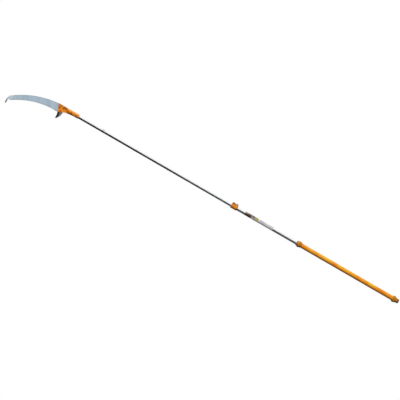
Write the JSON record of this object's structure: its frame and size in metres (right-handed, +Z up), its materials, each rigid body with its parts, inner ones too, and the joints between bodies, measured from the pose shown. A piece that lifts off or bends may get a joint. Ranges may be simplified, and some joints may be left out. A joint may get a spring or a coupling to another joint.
{
  "type": "telescoping pole saw",
  "caption": "Long oval telescoping pole with a grip sleeve, a lever clamp collar with a lock button, and a head that holds a curved pull saw blade with a hooked tip and a sickle spur.",
  "frame": {"origin": "centre of the butt cap's end face, on the pole's axis", "axes": "+X along the pole from the butt to the blade, +Y the side that the teeth and the sickle face, +Z up from the side that it lies on, the side of the bolt heads and the clamp lever"},
  "size_m": [3.7507, 0.2432, 0.0485],
  "materials": {
    "orange_plastic": "smooth moulded orange plastic",
    "dark_orange_plastic": "moulded darker orange plastic",
    "orange_grip": "soft satin orange grip sleeve",
    "tube_aluminium": "drawn and anodised, satin",
    "label_film": "printed film with plain colour bands",
    "blade_steel": "ground hardened steel",
    "sickle_steel": "ground steel with a blackened front rib",
    "black_nylon": "black nylon",
    "dark_steel": "blackened steel",
    "zinc_steel": "zinc plated steel",
    "yellow_zinc": "steel, zinc plated and passivated yellow"
  },
  "bodies": {
    "pole": {"outer_tube": "tube_aluminium", "butt_plug": "black_nylon", "butt_cap": "dark_orange_plastic", "butt_screw": "dark_steel", "grip_sleeve": "orange_grip", "guard_ring": "dark_orange_plastic", "label_wrap": "label_film", "clamp_collar": "dark_orange_plastic", "guide_bush": "black_nylon", "collar_screws": "dark_steel", "tension_bolt": "dark_steel", "tension_nut": "dark_steel", "cam_pad": "black_nylon", "lock_cover": "dark_steel", "cover_screws": "zinc_steel", "lock_spring": "zinc_steel"},
    "head": {"inner_tube": "tube_aluminium", "tail_glide": "black_nylon", "tail_pin": "zinc_steel", "head_plug": "black_nylon", "head_socket": "orange_plastic", "head_cheek": "orange_plastic", "socket_bolts": "yellow_zinc", "socket_nuts": "yellow_zinc", "saw_blade": "blade_steel", "sickle": "sickle_steel", "blade_bolts": "yellow_zinc", "blade_washers": "zinc_steel", "blade_nuts": "yellow_zinc"},
    "lever": {"clamp_lever": "orange_plastic", "lever_pin": "dark_steel", "lever_clip": "zinc_steel"},
    "button": {"lock_pin": "zinc_steel", "lock_knob": "dark_orange_plastic"}
  },
  "joints": [
    {"name": "pole_slide", "type": "slide", "parent": "pole", "child": "head", "axis": [1, 0, 0], "range_m": [-1.3, 0]},
    {"name": "lever_hinge", "type": "hinge", "parent": "pole", "child": "lever", "pos_m": [1.629, -0.027, 0.02085], "axis": [1, 0, 0], "range_deg": [0, 110]},
    {"name": "button_press", "type": "slide", "parent": "pole", "child": "button", "axis": [0, -1, 0], "range_m": [-0.003, 0.0015], "stiffness_N_per_m": 700, "springref_m": -0.003, "deforming": ["lock_spring"]}
  ]
}
